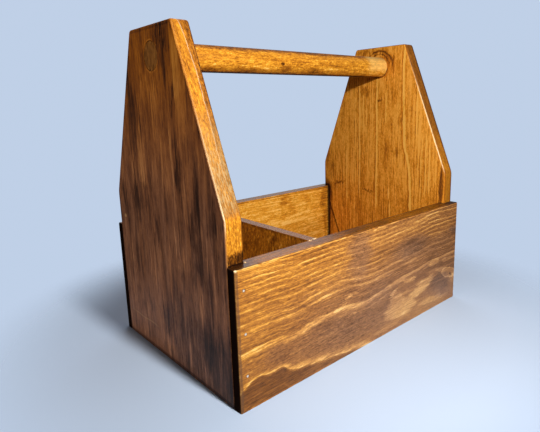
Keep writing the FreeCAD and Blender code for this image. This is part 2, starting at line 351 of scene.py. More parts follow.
# The left panel's front edge: scraped wood, the worn arris with a painted highlight line, the
# painted highlight at its brightest, and the coat where it is thick or shows a painted sheen.
SCRAPED_WOOD = (0.74, 0.58, 0.38)
WORN_LIT_ARRIS = (0.60, 0.26, 0.06)
ARRIS_HIGHLIGHT = (1.0, 0.80, 0.50)
AMBER_COAT = (0.34, 0.185, 0.045)
PALE_SHEEN = (0.52, 0.40, 0.20)
# The right panel's inner arris with a painted highlight, and the painted highlight on the handle's
# right end.
RIGHT_ARRIS_HIGHLIGHT = (0.95, 0.74, 0.42)
END_HIGHLIGHT = (0.92, 0.62, 0.20)
HANDLE_END = ((0.0, (0.06, 0.022, 0.004)), (0.5, (0.38, 0.150, 0.026)), (1.0, (0.70, 0.31, 0.07)))
RUST = (0.16, 0.062, 0.015)
STEEL = ((0.0, (0.62, 0.59, 0.53)), (1.0, (0.98, 0.95, 0.90)))
DRY_GLUE = ((0.0, (0.36, 0.20, 0.07)), (0.5, (0.66, 0.47, 0.24)), (1.0, (0.86, 0.74, 0.52)))


def front_board_finish():
    """Flat-sawn face: close level rings above, one long wavy ring, and a broad figure below it. A
    painted reflection of the floor greys the face, painted light brightens it lower down, and the
    top arris and tip at the left end carry wear with a painted highlight.
    """
    finish, place = new_finish("front_board_stain")
    x, y, z = millimetres(place)
    face = point(x, z)

    upper = course(
        x,
        BOX_LENGTH,
        ((0, 0), (45, 0), (65, -3), (95, 1), (140, 2), (178, -3), (200, -1), (240, 5), (285, 10),
         (305, 15), (320, 18), (345, 16), (381, 16)),
    )
    lower = course(
        x,
        BOX_LENGTH,
        ((0, 9), (10, 14), (22, 19), (36, 15), (48, 16), (58, 11), (68, 6), (85, 3), (110, 0),
         (130, -3), (150, -7), (175, -10), (215, -20), (381, -20)),
    )
    low = ease(z, 44.0, 26.0)
    high = ease(z, 60.0, 80.0)
    crest = hump(x, 135.0, 60.0) * ease(z, 64.0, 78.0) * ease(z, 116.0, 98.0) * 4
    sway = (
        noise(point(x / 60, z / 16, y / 16), 2.0) * 4.0
        + noise(point(x / 16, z / 5, y / 5), 2.0) * 2.2
        + noise(point(x / 4, z / 1.6, y / 1.6), 2.0, 0.6) * 1.5
    )
    level = z - (1 - low) * upper * (1 - high * 0.62) - low * lower - crest + sway
    heart = (35.0, 69.5)
    whole, part = rings(level, y, heart, 3.9, 83.8)
    strengths = (1.0, 0.15, 0.85, 0.9, 0.35, 0.8, 0.6, 0.85, 0.6, 0.75, 0.95, 0.55, 1.0, 0.7)
    shown = tint(
        (whole + 1.5) / len(strengths),
        [(i / len(strengths), (s, s, s)) for i, s in enumerate(strengths)],
    )
    shown.socket.node.color_ramp.interpolation = "CONSTANT"
    breaks = ease(noise(point(x / 34, z / 4, y / 8), 2.0, 0.6), -0.26, 0.14)
    _, fine_part = rings(level + sway * 0.5, y, heart, 1.32, 84.1)
    fine_breaks = ease(noise(point(x / 26 + 7, z / 3, y / 8), 2.0, 0.6), -0.12, 0.20)

    loose = ragged(face, x / 20, z / 6, (40.0, 13.0))
    dull = patches(
        loose, 1.2,
        ((170, 114), (17, 26), 0, 0.85),
        ((272, 99), (34, 13), 0, 1.0),
        ((374, 102), (12, 5), 0, 1.2),
        ((45, 44), (20, 9), 0, 0.5),
        ((345, 28), (26, 16), -20, 0.9),
        ((120, 34), (90, 18), -4, 0.45),
        ((205, 40), (34, 28), 0, 0.45),
        ((318, 92), (80, 10), 3, 0.35),
    )
    sunny = patches(
        loose, 1.4,
        ((34, 122), (70, 26), 0, 0.7),
        ((110, 106), (60, 22), 0, 0.7),
        ((20, 84), (48, 24), 0, 0.8),
        ((12, 44), (20, 12), 0, 0.7),
        ((110, 56), (70, 5), 0, 0.5),
        ((300, 130), (110, 13), 3, 0.7),
        ((320, 10), (80, 16), 0, 1.1),
        ((300, 30), (60, 24), 0, 0.5),
    )
    torn = ragged(loose, x / 5, z / 2.2, (7.0, 4.0))
    swirl = patches(
        torn, 0.5,
        ((250, 24), (34, 12), -4, 0.9),
        ((296, 39), (30, 8), 14, 1.0),
        ((242, 40), (13, 8), 0, 0.7),
        ((233, 49), (9, 3.2), 20, 1.0),
        ((268, 57), (12, 3.0), -10, 0.7),
        ((325, 66), (12, 4), 0, 0.7),
        ((325, 13), (34, 4), -4, 0.6),
        ((360, 62), (20, 3), -8, 0.6),
        ((222, 7), (24, 3), 0, 0.5),
        ((148, 71), (6, 2.0), 0, 0.8),
        ((136, 60), (9, 3.0), 0, 0.8),
        ((374, 30), (9, 6), 0, 0.6),
        ((345, 50), (18, 3), -14, 0.4),
    )
    hollow = patch(torn, (270, 43), (17, 5.5), 0, 0.7)
    eye = face.node(
        "Mapping",
        {"vector_type": "TEXTURE"},
        {
            "Vector": ragged(face, x / 9, z / 4, (7.0, 3.5)),
            "Location": (364, 41, 0),
            "Rotation": (0, 0, math.radians(-17)),
            "Scale": (20, 7.5, 1),
        },
    )
    eye_ring = face.node("VectorMath", {"operation": "LENGTH"}, {0: eye}, out=1)
    lens = ease(eye_ring, 1.08, 0.92) * (0.45 + 0.55 * ease(eye_ring, 0.75, 0.97))
    knot = patch(face, (368, 38), (2.6, 1.9), -20, 0.8)

    under_border = ease(level, 9.5, 8.0) * low
    blotch = noise(point(x / 42 + 3, z / 16, y / 16), 3.0, 0.6)
    fine = fibres(x, z, y, 2.0)
    flecks = grit(x, z, y, 5.0)
    open_pores = pores(x, z, y, 6.0)
    late = latewood(part, 0.2, 0.9) * shown * (0.25 + breaks) * (1 - dull * 0.5)
    late = late * (1 - under_border * 0.7)
    threads = ease(noise(point(x / 22 + 3, z / 0.9, y / 0.9), 2.0, 0.6), 0.06, 0.18)
    thin_late = latewood(fine_part, 0.2, 0.85) * fine_breaks * (1 - low)
    quiet = 1 - ease(x, 130.0, 260.0) * ease(z, 128.0, 100.0) * 0.5
    arris = box_arris(x, y, z, (0, -SIDE_LAP, 0), (BOX_LENGTH, INNER_FRONT, SIDE_HEIGHT))
    wear = ease(arris, 2.4, 0.6) * ease(noise(point(x / 12, z / 4, y)), -0.22, 0.12)
    top = top_face(z)
    lap = lesser(x, BOX_LENGTH - x)
    gold = (
        0.455
        + sunny * 0.12
        + blotch * 0.28
        + fine * 0.32 * quiet
        + flecks * 0.40 * quiet
        + late * (0.38 - high * 0.07) * (0.4 + quiet * 0.6)
        + thin_late * 0.24
        - threads * 0.11
        + swirl * (1 - hollow * 0.8) * (0.27 + fine * 0.2)
        # Painted light: lighter towards the bottom.
        + ease(z, 60.0, 10.0) * 0.06
        + lens * 0.30
        - dull * 0.08
        - ease(x, 180.0, 380.0) * 0.05
        - under_border * (0.13 + flecks * 0.2)
        - knot * 0.30
        - open_pores * 0.10
        + (1 - quiet) * 0.02
        + wear * 0.14 * (1 - top)
        - top * (0.20 + (late + fine) * 0.2)
        - top * ease(lap + blotch * 20, 32.0, 8.0) * 0.24
        - hump(z, SIDE_HEIGHT - 2.6, 1.4) * (1 - top) * breaks * 0.16
        - hump(x + sway * 0.4, 2.6, 1.8) * breaks * 0.16
    )
    end_grain = board_end(x, 1.1, 0.3)
    in_front = ease(y, -SIDE_LAP + 1.6, -SIDE_LAP + 1.0)
    # Wear along the top arris near the left end and at the tip, carrying a painted highlight.
    rubbed = hump(z, SIDE_HEIGHT - 0.8, 0.8) * in_front * ease(x, 190.0, 20.0)
    rubbed = rubbed * ease(noise(point(x / 9 + 2, z / 4)), -0.20, 0.05)
    tip_highlight = ease(x, 3.8, 1.4) * ease(z, SIDE_HEIGHT - 2.6, SIDE_HEIGHT - 1.2) * in_front
    side_band = ease(x + sway * 0.4, 4.2, 3.0) * (1 - top) * in_front
    side_band = side_band * ease(noise(point(x / 5, z / 16 + 7)), -0.35, 0.0)
    # Painted reflection of the pale floor in the coat: a little everywhere, most in the dull ovals,
    # towards the right end and low at the left.
    floor_sheen = (
        0.10
        + dull * 0.35
        + ease(x, 60.0, 260.0) * 0.20
        + ease(z, 115.0, 60.0) * ease(x, 10.0, 150.0) * 0.22
    )
    colour = blend(tint(gold, STAIN), tint(gold, FLOOR_SHEEN_STAIN), floor_sheen * (1 - top))
    colour = blend(colour, (*DULL_ARRIS, 1), side_band * 0.66)
    colour = blend(colour, (*GOLD_ARRIS_HIGHLIGHT, 1), rubbed * 0.80)
    colour = blend(colour, (*BARE_TIP_HIGHLIGHT, 1), tip_highlight * 0.70)
    rough = (
        0.42
        - late * 0.08
        + open_pores * 0.12
        + blotch * 0.10
        + fine * 0.10
        + top * (ease(x, 330.0, 372.0) * 0.38 - 0.10)
    )
    height = late * 0.05 + fine * 0.06 - open_pores * 0.08
    varnish(place, colour, rough, height, bare=end_grain)
    return finish


def back_board_finish():
    """Close level grain, gold and mottled inside the box. The inner face is painted lighter than
    the outer, painted light for light bounced inside the box.
    """
    finish, place = new_finish("back_board_stain")
    x, y, z = millimetres(place)
    face = point(x, z)
    sway = (
        noise(point(x / 110 + 20, z / 24, y / 24), 2.0) * 9
        + noise(point(x / 22, z / 7, y / 7), 2.0) * 2.2
        + noise(point(x / 4, z / 1.6, y / 1.6), 2.0, 0.6) * 1.2
    )
    whole, part = rings(z + sway, y, (96.0, 180.0), 2.3, 20.0)
    shown = 0.25 + ring_strength(whole) * 0.75
    breaks = ease(noise(point(x / 26, z / 4, y / 8 + 9), 2.0, 0.6), -0.22, 0.16)
    loose = ragged(face, x / 14, z / 6, (22.0, 14.0))
    dull = patches(
        loose, 1.0,
        ((259, 127), (6, 9), -30, 0.8),
        ((276, 115), (8, 6), -20, 0.7),
        ((312, 122), (5, 9), 20, 0.4),
        ((350, 114), (7, 20), 0, 1.3),
        ((354, 100), (5, 44), 0, 1.3),
        ((366, 118), (7, 40), 0, 1.2),
        ((120, 60), (40, 18), 0, 0.6),
        ((60, 96), (22, 12), 0, 0.7),
        ((300, 40), (46, 16), 0, 0.6),
    )
    inner = ease(y, INNER_BACK + 4.0, INNER_BACK + 0.5)
    blotch = noise(point(x / 30 + 8, z / 14, y / 16), 3.0, 0.6)
    fine = fibres(x, z, y, 5.0)
    flecks = grit(x, z, y, 12.0)
    open_pores = pores(x, z, y, 11.0)
    late = latewood(part, 0.2, 0.9) * shown * breaks
    top = top_face(z)
    under_top = hump(z, SIDE_HEIGHT - 2.2, 1.5) * inner
    gold = (
        0.46
        # The inner face is painted lighter than the outer face: painted light for light bounced
        # inside the box.
        + inner * 0.36
        + blotch * 0.42
        + fine * 0.30
        + flecks * 0.48
        + late * (0.36 - inner * 0.14)
        - dull * 0.20
        - open_pores * 0.12
        - under_top * 0.30
    )
    arris = box_arris(
        x, y, z, (0, INNER_BACK, 0), (BOX_LENGTH, END_WIDTH + SIDE_LAP, SIDE_HEIGHT)
    )
    wear = ease(arris, 2.4, 0.6) * ease(noise(point(x / 12 + 4, z / 4, y)), -0.22, 0.12)
    gold = gold + wear * 0.12 * (1 - top) * (1 - inner) - top * (0.12 + fine * 0.2 + inner * 0.26)
    end_grain = board_end(x)
    rough = 0.42 - late * 0.08 + open_pores * 0.12 + blotch * 0.10 + fine * 0.10 - top * 0.14
    height = late * 0.04 + fine * 0.06 - open_pores * 0.08
    seam = ease(x + noise(point(x / 3, z / 2.4), 3.0, 0.7) * 9, 357.5, 361.0) * inner * (1 - top)
    varnish(place, tint(gold, STAIN), rough, height, bare=greater(end_grain, seam * 0.85))
    return finish


def panel_outline(y, z):
    """How far a point of an end panel is inside the panel's outline."""
    mirrored = lesser(y, END_WIDTH - y)
    rise, run = END_HEIGHT - SHOULDER_HEIGHT, (END_WIDTH - TOP_FLAT_WIDTH) / 2
    flank = (mirrored * rise - (z - SHOULDER_HEIGHT) * run) / math.hypot(rise, run)
    return lesser(lesser(mirrored, flank), lesser(z, END_HEIGHT - z))


def upright_sway(x, y, z, seed):
    """How far the grain of an end panel strays from upright."""
    return (
        noise(point(z / 170 + seed, y / 30, x / 30), 2.0) * 9
        + noise(point(z / 34 + seed, y / 8, x / 8), 2.0) * 1.8
        + noise(point(z / 7, y / 1.6, x / 1.6 + seed), 2.0, 0.6)
    )


def streak(y, z, centre, width, low, high, strength=1.0):
    """An upright line of hard grain between two heights, with a dark line on its far side."""
    side = (y - centre) / width
    line = ease(side, -1.0, -0.1) * ease(side, 0.6, 0.2) - hump(side, 0.85, 0.5) * 0.6
    return line * ease(z, low - 8.0, low + 8.0) * ease(z, high + 8.0, high - 8.0) * strength


def handle_ring(y, z):
    """How far a point of a panel is from the middle of the handle."""
    wide, tall = y - END_WIDTH / 2, z - HANDLE_HEIGHT
    return (wide * wide + tall * tall) ** 0.5


def sawn_edge(x, y, z, seed):
    """How gold a panel's edge is: short slanted grain marks and flecks."""
    marks = noise(point(x / 1.5 + z / 8, z / 3.4 + seed, y / 3.4), 2.0, 0.65)
    cloud = noise(point(x / 6, z / 22 + seed, y / 22), 3.0, 0.6)
    threads = noise(point(x / 1.1, z / 14 + seed, y / 14), 2.0, 0.6)
    return marks * 0.40 + cloud * 0.25 + threads * 0.35


# How far in from the outer face the scraped line on the left panel's edge runs, by height.
SCRAPE_LINE = ((0, 12), (230, 12), (300, 12.5), (330, 11), (END_HEIGHT, 6))


def left_panel_finish():
    """A dark outer face with long upright blotches, and a gritty amber edge rubbed pale. A painted
    reflection of the floor greys the outer face lower down, painted shade darkens its foot, the
    edge by the inner face and the joint with the front board, and a painted highlight runs along
    the front arris.
    """
    finish, place = new_finish("left_panel_stain")
    x, y, z = millimetres(place)
    face = point(y, z)
    sway = upright_sway(x, y, z, 3.0)
    outer = ease(x, 5.0, 1.0)
    loose = ragged(face, z / 50, y / 3.4, (14.0, 150.0))
    dark = patches(
        loose, 1.1,
        ((93, 352), (14, 8), 0, 1.5),
        ((92, 322), (6, 24), 0, 0.7),
        ((77, 285), (5, 8), -20, 1.3),
        ((165, 268), (14, 32), 0, 0.9),
        ((178, 330), (14, 30), 0, 0.6),
        ((76, 220), (6, 22), 0, 1.1),
        ((44, 200), (5, 36), 0, 1.1),
        ((157, 200), (9, 4), 0, 1.1),
        ((175, 183), (11, 18), 0, 1.0),
        ((210, 185), (5, 11), 0, 0.9),
        ((45, 128), (5, 30), 0, 1.0),
        ((34, 40), (14, 24), 0, 0.9),
        ((56, 158), (6, 26), 0, 0.9),
        ((30, 100), (5, 30), 0, 0.9),
        ((125, 48), (7, 9), 0, 0.8),
        ((20, 178), (7, 30), 0, 0.8),
        ((130, 148), (8, 9), 0, 0.7),
        ((188, 120), (5, 30), 0, 0.6),
        ((60, 60), (80, 24), 0, 0.35),
        ((14, 30), (22, 40), 0, 0.6),
    )
    pale = patches(
        loose, 1.1,
        ((155, 225), (8, 22), 0, 1.2),
        ((178, 215), (6, 14), 0, 0.8),
        ((85, 135), (10, 6), 0, 0.7),
        ((47, 84), (3, 20), 0, 1.0),
        ((64, 300), (10, 50), 0, 1.0),
        ((118, 300), (26, 16), 0, 0.6),
        ((125, 348), (30, 6), 0, 0.5),
        ((66, 170), (5, 40), 0, 0.5),
        ((112, 230), (26, 30), 0, 0.3),
        ((140, 90), (14, 40), 0, 0.35),
        ((88, 238), (3, 14), 0, 1.0),
        ((84, 180), (4, 24), 0, 0.6),
    )
    outline = panel_outline(y, z)
    edge = ease(outline, 1.4, 0.3) * ease(z, 4.0, 8.0)
    wide = noise(point(z / 120, y / 10, x / 10), 3.0, 0.6)
    cloud = noise(point(z / 36 + 6, y / 15, x / 15), 4.0, 0.6)
    narrow = noise(point(z / 40 + 4, y / 3.4, x / 3.4), 3.0, 0.6)
    dashes = ease(noise(point(z / 20 + 9, y / 2.0, x / 2.0), 2.0, 0.6), 0.08, 0.18)
    dark_runs = ease(noise(point(z / 80 + 5, y / 6.5, x / 6.5), 3.0, 0.65), 0.02, 0.14)
    red_runs = ease(noise(point(z / 60 + 15, y / 5.0, x / 5.0), 3.0, 0.65), 0.03, 0.15)
    fine = fibres(z, y, x, 1.0)
    flecks = grit(z, y, x, 2.0)
    open_pores = pores(z, y, x, 4.0)
    hole = handle_ring(y, z)
    rim = hump(hole + noise(point(y / 4, z / 4), 2.0) * 2.0, 15.6, 1.1) * outer
    board = (
        0.56
        + ease(z, 200.0, 330.0) * 0.02
        + wide * 0.44
        + narrow * 0.22
        + cloud * 0.46
        + fine * 0.10
        + flecks * 0.18
        - dark_runs * 0.17
        + red_runs * 0.19
        - dark * outer * 0.28
        + pale * outer * 0.24
        - dashes * 0.17
        - open_pores * 0.08
        # Painted shade along the foot of the outer face.
        - ease(z, 5.0, 1.0) * 0.25
        + hump(z, 215.0, 60.0) * 0.05
        - ease(z, 100.0, 20.0) * ease(y, 170.0, 50.0) * 0.14
        - ease(z, 110.0, 0.0) * 0.03
        - hump(outline, 3.2, 1.8) * outer * 0.12
        + rim * ease(noise(point(y / 6 + 3, z / 6)), -0.08, 0.12) * 0.26
    )
    foot = ragged(point(x, z), x / 4, z / 4, (14.0, 14.0))
    # Painted shade, with dark stain, where the edge meets the front board's top.
    joint_shade = patch(foot, (12, 144), (14, 7), 0, 0.7)
    below = ease(z, SHOULDER_HEIGHT + 5, SHOULDER_HEIGHT - 1)
    # Painted shade along the edge beside the inner face.
    inside = ease(x, END_THICKNESS - 2.6, END_THICKNESS - 1.0)
    joint = ease(z, 141.6, 140.4) * ease(z, 139.0, 139.6)
    mid_line = course(z, END_HEIGHT, SCRAPE_LINE)
    beyond = ease(x - mid_line, -0.8, 0.8) * ease(z, 190.0, 230.0)
    sawn = (
        0.55
        + sawn_edge(x, y, z, 2.0) * 1.9
        + below * 0.06
        - joint_shade * 0.48
        - inside * 0.26
        - joint * 0.5
        - (beyond - 0.4) * 0.16
        - ease(z, 262.0, 215.0) * ease(z, 183.0, 190.0) * 0.12
    )
    gold = board * (1 - edge) + sawn * edge
    front = ease(y, 78.0, 66.0)
    scrape = hump(x + noise(point(z / 9, x / 20), 3.0) * 2.4, mid_line, 0.8) * edge * front
    scrape = scrape * ease(z, 200.0, 245.0) * ease(noise(point(z / 7, x / 3)), -0.28, 0.02)
    amber = ease(z, 182.0, 192.0) * ease(z, 300.0, 235.0) * edge * front
    sheen = ease(z, 180.0, 196.0) * ease(z, 285.0, 215.0) * edge * front
    sheen = sheen * ease(noise(point(x / 1.5, z / 7, y / 7), 3.0, 0.65), -0.08, 0.12)
    # The worn front arris, with a painted highlight line along it.
    corner = ease(x, 1.5, 1.0) * ease(outline, 1.3, 0.7) * front
    low_down = ease(z, 138.0, 145.0)
    corner = corner * ease(noise(point(z / 7, y / 9)) + low_down * 0.3, 0.02, 0.16)
    rubbed = patch(face, (213, 153), (2.6, 2.0), 0, 1.0) * outer
    ridge = hump(z + sway * 0.5, 31.0, 1.4) * outer * ease(y, 140.0, 160.0) * ease(y, 226.0, 200.0)
    # Painted reflection of the pale floor, stronger towards the bottom of the outer face.
    dim_floor_sheen = ease(z, 350.0, 150.0) * outer * (1 - edge) * (0.66 + wide * 0.6)
    colour = blend(tint(gold, STAIN), tint(gold, RED_STAIN), outer * (1 - edge))
    colour = blend(colour, tint(gold, DIM_FLOOR_SHEEN_STAIN), dim_floor_sheen)
    colour = blend(colour, (*SCRAPED_WOOD, 1), scrape * 0.5)
    colour = blend(colour, (*WORN_LIT_ARRIS, 1), corner * (0.8 - low_down * 0.2))
    # Painted highlight on the front arris, brightest just above the shoulder.
    bright = greater(hump(z, 192.0, 30.0), ease(z, 300.0, 215.0) * ease(z, 178.0, 190.0) * 0.6)
    colour = blend(colour, (*ARRIS_HIGHLIGHT, 1), corner * bright)
    colour = blend(colour, (*AMBER_COAT, 1), amber * 0.35)
    colour = blend(colour, (*PALE_SHEEN, 1), sheen * 0.44)
    colour = blend(colour, (*PALE_WEAR, 1), greater(rubbed * 0.6, ridge * 0.22))
    rough = 0.48 + open_pores * 0.12 + wide * 0.14 + fine * 0.10
    height = fine * 0.06 + sawn * edge * 0.10 - open_pores * 0.08 - dashes * 0.05
    varnish(place, colour, rough, height, 0.11)
    return finish


def right_panel_finish():
    """A bright inner face with long gold streaks, curled round the handle, and a dark edge. The
    inner face is painted lighter than the outer, painted shade darkens the back corner and the
    joint under the handle, and a painted highlight runs along the inner arris.
    """
    finish, place = new_finish("right_panel_stain")
    x, y, z = millimetres(place)
    face = point(y, z)
    whole, part = rings(y + upright_sway(x, y, z, 14.0), x, (150.0, 470.0), 4.1, 20.0)
    shown = ring_strength(whole)
    inner_x = BOX_LENGTH - END_THICKNESS
    inner = ease(x, inner_x + 5.0, inner_x + 1.0)
    loose = ragged(face, z / 22, y / 5, (8.0, 26.0))
    stray = y + noise(point(z / 26, y / 12), 2.0) * 3.0 + noise(point(z / 6, y / 3), 2.0) * 1.4
    wander = course(
        z, END_HEIGHT,
        ((0, 55), (125, 55), (170, 57), (200, 62), (212, 66), (232, 68), (345, 70),
         (END_HEIGHT, 68)),
    )
    lines = streak(stray, z, wander, 3.4, 120.0, 352.0)
    for centre, width, low, high, strength in (
        (117.5, 3.6, 118.0, 312.0, 0.85),
        (101.0, 2.6, 250.0, 292.0, 0.6),
        (47.0, 2.4, 226.0, 300.0, 0.7),
        (151.5, 2.6, 128.0, 305.0, 0.8),
        (144.0, 2.4, 240.0, 300.0, 0.6),
        (178.5, 2.4, 118.0, 205.0, 0.6),
        (137.0, 2.0, 200.0, 290.0, 0.5),
        (160.0, 2.0, 150.0, 290.0, 0.45),
        (93.5, 3.6, 134.0, 149.0, 0.9),
        (91.5, 3.2, 106.0, 129.0, 0.8),
        (25.0, 2.2, 150.0, 215.0, 0.6),
        (31.0, 2.0, 150.0, 235.0, 0.6),
        (38.0, 2.0, 140.0, 230.0, 0.6),
        (43.0, 2.0, 170.0, 260.0, 0.5),
    ):
        lines = lines + streak(stray, z, centre, width * 0.85, low, high, strength)
    lines = lines * (0.8 + noise(point(z / 14 + 5, y / 1.8), 3.0, 0.65) * 1.6)
    hole = handle_ring(y, z)
    bent = hole + noise(point(y / 9, z / 9), 2.0) * 6
    arches = greater(hump(bent, 18.5, 1.8), hump(bent, 24.0, 2.2)) * ease(z, 318.0, 338.0)
    arches = greater(arches, hump(bent, 17.0, 1.5) * ease(y, 112.0, 96.0) * 0.7)
    dark = patches(
        loose, 1.0,
        ((112, 282), (4.0, 1.8), 0, 1.5),
        ((140, 296), (9, 7), 0, 0.9),
        ((5, 165), (4, 26), 0, 1.6),
        ((135, 141), (13, 1.6), 0, 1.2),
        ((194, 150), (14, 2.2), -14, 1.1),
        # This oval is painted shade in the back corner, partly dark stain.
        ((222, 124), (8, 30), 0, 1.4),
        ((101, 200), (3, 26), 0, 0.9),
        ((80, 205), (8, 7), 0, 0.6),
        ((96, 345), (5, 10), -40, 0.8),
        ((130, 352), (24, 3), 0, 0.9),
        ((40, 180), (12, 26), 0, 0.3),
        ((216, 190), (10, 30), 0, 0.5),
    )
    outline = panel_outline(y, z)
    edge = ease(outline, 1.4, 0.3)
    wide = noise(point(z / 110 + 7, y / 12, x / 12), 3.0, 0.6)
    narrow = noise(point(z / 46 + 2, y / 3.2, x / 3.2), 3.0, 0.6)
    cloud = noise(point(z / 20 + 9, y / 10, x / 10), 4.0, 0.65)
    runs = ease(noise(point(z / 70 + 3, y / 2.2, x / 2.2), 3.0, 0.65), 0.02, 0.14)
    threads = ease(noise(point(z / 36 + 8, y / 1.2, x / 1.2), 2.0, 0.6), 0.06, 0.18)
    # Painted shade in the joint under the handle, on the lower half of the ring.
    rim = ease(hole, 16.4, 15.2) * ease(z, 334.0, 322.0) * inner
    fine = fibres(z, y, x, 9.0)
    flecks = grit(z, y, x, 8.0)
    open_pores = pores(z, y, x, 13.0)
    late = latewood(part, 0.25) * (0.1 + shown * 0.9) * ease(narrow, -0.3, 0.1)
    board = (
        0.48
        # The inner face is painted lighter than the outer face: painted light.
        + inner * 0.35
        + wide * 0.42
        + cloud * 0.40
        + narrow * 0.44
        + fine * 0.24
        + flecks * 0.54
        + late * 0.12
        + runs * 0.14
        - threads * 0.21
        + lines * inner * 0.40
        - rim * 0.5
        - dark * inner * 0.26
        - arches * inner * 0.36
        - open_pores * 0.14
        - ease(z, 185.0, 120.0) * inner * 0.09
        # Painted shade down the back corner, partly dark stain.
        - ease(y, 206.0, 219.0) * ease(z, 152.0, 138.0) * inner * 0.30
    )
    sawn = (
        0.60
        + sawn_edge(x, y, z, 7.0) * 1.2
        - ease(x, BOX_LENGTH - 5, BOX_LENGTH - 2) * 0.3
        - ease(z, 205.0, 255.0) * 0.16
    )
    gold = lesser(board * (1 - edge) + sawn * edge, 0.94)
    front = ease(y, 78.0, 66.0)
    # The inner arris of the slanted edge, with a painted highlight along it.
    corner = ease(x, inner_x + 1.7, inner_x + 0.8) * ease(outline, 1.7, 0.8) * front
    corner = corner * ease(z, 176.0, 196.0) * ease(noise(point(z / 9, y / 9)), -0.34, -0.05)
    colour = blend(tint(gold, STAIN), tint(gold, RED_STAIN), inner * (0.62 - lines * 0.7))
    colour = blend(colour, (*RIGHT_ARRIS_HIGHLIGHT, 1), corner * ease(z, 360.0, 250.0) * 0.8)
    rough = 0.42 - late * 0.06 + open_pores * 0.12 + wide * 0.12 + fine * 0.10
    height = late * 0.04 + fine * 0.06 + sawn * edge * 0.10 - open_pores * 0.08
    # Painted shade in the back corner beside the back board, an upright strip and a slanted band,
    # partly shadow and partly dark stain, drawn as bare dark wood.
    frayed = y + noise(point(y / 3, z / 4), 3.0, 0.6) * 5
    seam = ease(frayed, 213.0, 218.5) * ease(z, 146.0, 139.0)
    slanted = hump(frayed + (118 - z) * 0.42, 220.0, 3.0) * ease(z, 122.0, 112.0)
    corner_shade = greater(seam, slanted)
    varnish(place, colour, rough, height, 0.06, bare=corner_shade * inner * 0.85)
    return finish


def divider_finish():
    """Mottled upright figure on both faces, darker than the boards, and a dull brown top."""
    finish, place = new_finish("divider_stain")
    x, y, z = millimetres(place)
    face = point(y, z)
    mottle = noise(point(y / 6, z / 11, x / 8), 4.0, 0.65)
    curl = noise(point(y / 2.4 + 4, z / 4.6, x / 5), 3.0, 0.65)
    flecks = grit(z, y, x, 4.0)
    fine = fibres(z, y, x, 7.0)
    open_pores = pores(z, y, x, 3.0)
    loose = ragged(face, z / 12, y / 5, (10.0, 18.0))
    dark = patches(
        loose, 1.0,
        ((63, 130), (4, 5), 0, 1.3),
        ((68, 126), (4, 4), 0, 1.3),
        ((120, 124), (18, 16), 0, 0.5),
        ((200, 120), (26, 20), 0, 0.5),
        ((30, 118), (12, 14), 0, 0.5),
    )
    top = top_face(z)
    along_top = noise(point(y / 30, x / 1.6), 3.0, 0.6)
    board = (
        0.65
        + mottle * 0.80
        + curl * 1.10
        + flecks * 0.30
        + fine * 0.14
        - open_pores * 0.14
        - dark * 0.22
        - ease(z, 136.0, 138.5) * 0.12
    )
    gold = board * (1 - top) + (0.36 + along_top * 0.25) * top
    rough = 0.42 + open_pores * 0.12 + curl * 0.16 - top * 0.14
    varnish(place, tint(gold, STAIN), rough, fine * 0.06 + curl * 0.05 - open_pores * 0.08)
    return finish


def bottom_finish():
    """Level grain, darker near the walls of the box."""
    finish, place = new_finish("bottom_board_stain")
    x, y, z = millimetres(place)
    sway = (
        noise(point(x / 130 + 2, y / 30, z / 30), 2.0) * 10
        + noise(point(x / 20, y / 6, z / 6), 2.0) * 2.0
    )
    whole, part = rings(y + sway, z, (130.0, -55.0), 4.2, 15.0)
    late = latewood(part) * (0.2 + ring_strength(whole) * 0.8)
    blotch = noise(point(x / 44, y / 20, z / 20), 3.0, 0.6)
    fine = fibres(x, y, z, 8.0)
    flecks = grit(x, y, z, 3.0)
    open_pores = pores(x, y, z, 2.0)
    sides, ends = lesser(y - INNER_FRONT, INNER_BACK - y), lesser(x, BOX_LENGTH - x) - END_THICKNESS
    wall = lesser(sides, ends)
    gold = (
        0.46
        + blotch * 0.34
        + fine * 0.26
        + flecks * 0.3
        + late * 0.26
        - open_pores * 0.1
        - ease(wall + blotch * 8, 8.0, 0.0) * 0.14
    )
    rough = 0.46 - late * 0.08 + open_pores * 0.12 + blotch * 0.10
    varnish(place, tint(gold, STAIN), rough, late * 0.05 + fine * 0.06 - open_pores * 0.08)
    return finish


